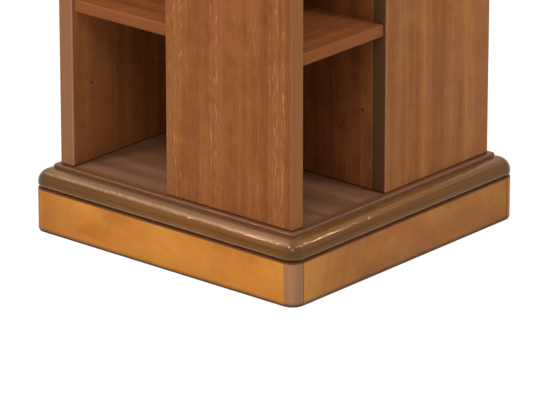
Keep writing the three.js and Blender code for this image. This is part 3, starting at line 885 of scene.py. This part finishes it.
def square_ring(half, radius, height):
    """Points of a rounded square, the same number for every size."""
    points = []
    for corner in range(4):
        middle = (corner + 0.5) * QUARTER_TURN
        centre_x = math.copysign(half - radius, math.cos(middle))
        centre_y = math.copysign(half - radius, math.sin(middle))
        for step in range(CORNER_STEPS + 1):
            angle = (corner + step / CORNER_STEPS) * QUARTER_TURN
            points.append((centre_x + radius * math.cos(angle), centre_y + radius * math.sin(angle), height))
    return points


def quarter_angles(steps):
    return [QUARTER_TURN * step / steps for step in range(steps + 1)]


def routed_profile(thickness):
    """Inset and height of the moulded edge, from its underside to its top: lip, ovolo and fillet."""
    profile = []
    for angle in quarter_angles(ROUND_STEPS):
        rise = LIP_RADIUS * (1 - math.cos(angle)) - LIP_DROP
        profile.append((LIP_RADIUS * (1 - math.sin(angle)), rise))
    ovolo_bottom = thickness - FILLET_HEIGHT - OVOLO_HEIGHT
    for angle in quarter_angles(OVOLO_STEPS):
        profile.append((FILLET_INSET * (1 - math.cos(angle)), ovolo_bottom + OVOLO_HEIGHT * math.sin(angle)))
    for angle in quarter_angles(ROUND_STEPS):
        inset = FILLET_INSET + FILLET_ROUND * (1 - math.cos(angle))
        profile.append((inset, thickness - FILLET_ROUND * (1 - math.sin(angle))))
    return profile


def make_moulded_board(name, material):
    """Square board whose routed edge runs round all four sides and corners."""
    low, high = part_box(name)
    bm = bmesh.new()
    rings = []
    for inset, height in routed_profile(high.z - low.z):
        radius = max(CORNER_RADIUS - inset, FILLET_CORNER)
        rings.append([bm.verts.new(point) for point in square_ring(high.x - inset, radius, low.z + height)])
    count = len(rings[0])
    for lower, upper in zip(rings, rings[1:]):
        for index in range(count):
            following = (index + 1) % count
            bm.faces.new((lower[index], lower[following], upper[following], upper[index]))
    bm.faces.new(list(reversed(rings[0])))
    bm.faces.new(rings[-1])
    finish_piece(f"{name}_finished", bm, material, "tower", "moulding_wood", name)


def make_rail(quarter):
    """Plinth rail, its long edges rounded and its ends cut square against the posts."""
    name = f"{SIDES[quarter]}_rail"
    reach = Vector((SEAT_GAP - SEAM_GAP, 0, 0))
    board = box_mesh(rail_low - reach, rail_high + reach)
    round_edges(board, edges_along(board, 0), RAIL_ROUND, RAIL_ROUND_STEPS)
    veneer = rail_veneers[quarter % 2]
    finish_piece(f"{name}_finished", turn(board, quarter), veneer, "plinth", "plinth_veneer", name)


def make_post(quarter):
    """Quarter-round corner post, without its hidden tongues."""
    name = f"{SIDES[quarter]}_{SIDES[(quarter + 1) % 4]}_post"
    low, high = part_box("front_right_post")
    centre_x, centre_y = high.x - CORNER_RADIUS, low.y + CORNER_RADIUS
    points = [(centre_x, centre_y)]
    for angle in quarter_angles(CORNER_STEPS):
        x, y = centre_x + CORNER_RADIUS * math.sin(angle), centre_y - CORNER_RADIUS * math.cos(angle)
        points.append((x, y))
    bm = bmesh.new()
    outline = bm.faces.new([bm.verts.new((x, y, low.z)) for x, y in points])
    made = bmesh.ops.extrude_face_region(bm, geom=[outline])
    upper = [part for part in made["geom"] if isinstance(part, bmesh.types.BMVert)]
    bmesh.ops.translate(bm, vec=(0, 0, high.z - low.z), verts=upper)
    bmesh.ops.recalc_face_normals(bm, faces=bm.faces)
    round_edges(bm, level_edges(bm), RAIL_ROUND, RAIL_ROUND_STEPS, clamp_overlap=True)
    wood = corner_wood if quarter == 0 else pale_corner_wood
    finish_piece(f"{name}_finished", turn(bm, quarter), wood, "plinth", "corner_wood", name)


def paint_hidden_nodes():
    """Gives the pieces that keep their CAD shape their finish."""
    finishes = {"glue_block": bare_wood, "deck": bare_wood, "bearing_plate": zinc, "screw": zinc,
                "ball_cage": ball_steel, "glide": nylon}
    for node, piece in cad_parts.items():
        for word, material in finishes.items():
            if word in node:
                piece.data.materials.clear()
                piece.data.materials.append(material)


def seen_directly(tree):
    """1 for rays from the camera, from a reflection or through glass, and 0 for the light on the object."""
    path = put(tree, "ShaderNodeLightPath").outputs
    seen = larger(tree, path["Is Camera Ray"], path["Is Glossy Ray"])
    return larger(tree, seen, path["Is Transmission Ray"])


def make_world():
    """White background over a soft, even light."""
    world = bpy.data.worlds.new("studio")
    bpy.context.scene.world = world
    world.use_nodes = True
    tree = world.node_tree
    tree.nodes.clear()
    lit = put(tree, "ShaderNodeBackground", {"Color": WHITE, "Strength": WORLD_STRENGTH})
    white = put(tree, "ShaderNodeBackground", {"Color": WHITE, "Strength": 1.0})
    mixed = put(tree, "ShaderNodeMixShader", {0: seen_directly(tree), 1: lit.outputs[0], 2: white.outputs[0]})
    put(tree, "ShaderNodeOutputWorld", {"Surface": mixed.outputs[0]})


def make_floor():
    """Pale floor that looks white apart from the soft shadow round the plinth's foot."""
    bm = bmesh.new()
    bmesh.ops.create_grid(bm, x_segments=1, y_segments=1, size=FLOOR_REACH)
    mesh = bpy.data.meshes.new("floor")
    bm.to_mesh(mesh)
    bm.free()
    floor = bpy.data.objects.new("floor", mesh)
    bpy.context.scene.collection.objects.link(floor)
    material, tree = new_material("floor_paint")
    paint = put(tree, "ShaderNodeBsdfDiffuse", {"Color": (FLOOR_GREY, FLOOR_GREY, FLOOR_GREY, 1.0)})
    openness = put(tree, "ShaderNodeAmbientOcclusion", {"Distance": SHADOW_REACH},
                   samples=SHADOW_SAMPLES, only_local=False).outputs["AO"]
    strength = remap(tree, openness, *SHADOW_OPENNESS, *FLOOR_GLOW)
    glow = put(tree, "ShaderNodeEmission", {"Color": WHITE, "Strength": strength})
    share = times(tree, seen_directly(tree), FLOOR_GLOW_SHARE)
    mixed = put(tree, "ShaderNodeMixShader", {0: share, 1: paint.outputs[0], 2: glow.outputs[0]})
    put(tree, "ShaderNodeOutputMaterial", {"Surface": mixed.outputs[0]})
    mesh.materials.append(material)


def direction(azimuth, elevation):
    """Unit vector towards a place, from its angles in degrees; azimuth 0 is in front and 90 to the right."""
    turned, raised = math.radians(azimuth), math.radians(elevation)
    level = math.cos(raised)
    return Vector((math.sin(turned) * level, -math.cos(turned) * level, math.sin(raised)))


def make_lamp(name, target, azimuth, elevation, size, power, distance=LAMP_DISTANCE, along="Z"):
    """Soft lamp that looks at its target. The second side of its size runs along an axis as far as it can."""
    data = bpy.data.lights.new(name, "AREA")
    data.shape = "RECTANGLE"
    data.size, data.size_y = size
    data.energy = power
    lamp = bpy.data.objects.new(name, data)
    bpy.context.scene.collection.objects.link(lamp)
    towards = direction(azimuth, elevation)
    axis = Vector([1.0 if letter == along else 0.0 for letter in "XYZ"])
    upward = (axis - towards * axis.dot(towards)).normalized()
    lamp.location = Vector(target) + towards * distance
    lamp.rotation_mode = "QUATERNION"
    lamp.rotation_quaternion = Matrix((upward.cross(towards), upward, towards)).transposed().to_quaternion()


def make_lamps():
    """A key, two strips and two boxes that draw lines of light on the moulding, and two small glints."""
    middle = Vector((0, 0, LAMP_AIM_HEIGHT))
    near_corner = Vector((base_high.x, base_low.y, base_high.z - FILLET_HEIGHT))
    beside_corner = near_corner - Vector((0, GLINT_SHIFT, 0))
    make_lamp("key", middle, azimuth=36, elevation=42, size=(1.2, 1.2), power=21.5)
    make_lamp("left_strip", middle, azimuth=-69.5, elevation=49.4, size=(0.5, 1.4), power=8.5, along="X")
    make_lamp("back_strip", middle, azimuth=186, elevation=44.2, size=(0.6, 1.4), power=2.4, along="Y")
    make_lamp("left_box", near_corner, azimuth=-27.7, elevation=60, size=(0.32, 0.32), power=24)
    make_lamp("right_box", near_corner, azimuth=108.9, elevation=60, size=(0.32, 0.32), power=19)
    make_lamp("front_glint", near_corner, azimuth=-60.5, elevation=45.4, size=(0.03, 0.06), power=1.7,
              distance=GLINT_DISTANCE, along="X")
    make_lamp("right_glint", beside_corner, azimuth=154, elevation=37.7, size=(0.03, 0.06), power=1.0,
              distance=GLINT_DISTANCE, along="Y")


def make_camera():
    """Long lens at the photograph's angle. Its axis passes just above the middle of the plinth's foot."""
    back = direction(CAMERA_AZIMUTH, CAMERA_ELEVATION)
    right = direction(CAMERA_AZIMUTH + 90, 0)
    up = back.cross(right)
    plinth_bottom = Vector((0, 0, rail_low.z))
    data = bpy.data.cameras.new("camera")
    data.sensor_width = SENSOR_WIDTH
    data.lens = SENSOR_WIDTH * FOCAL_PIXELS / IMAGE_WIDTH
    data.clip_end = CLIP_END
    camera = bpy.data.objects.new("camera", data)
    bpy.context.scene.collection.objects.link(camera)
    camera.location = plinth_bottom + back * CAMERA_DISTANCE
    aim = plinth_bottom + up * AIM_UP + right * AIM_SIDEWAYS
    camera.rotation_mode = "QUATERNION"
    camera.rotation_quaternion = (aim - camera.location).to_track_quat("-Z", "Y")
    bpy.context.scene.camera = camera


bpy.context.scene.view_settings.view_transform = "Standard"
make_camera()
make_world()
make_floor()
make_lamps()
make_moulded_board("base_board", base_walnut)
make_moulded_board("top_board", top_walnut)
for quarter in range(4):
    make_panel(quarter)
    make_divider(quarter)
    make_rail(quarter)
    make_post(quarter)
    for level in range(1, SHELVES_PER_COLUMN + 1):
        make_shelf(quarter, level)
paint_hidden_nodes()
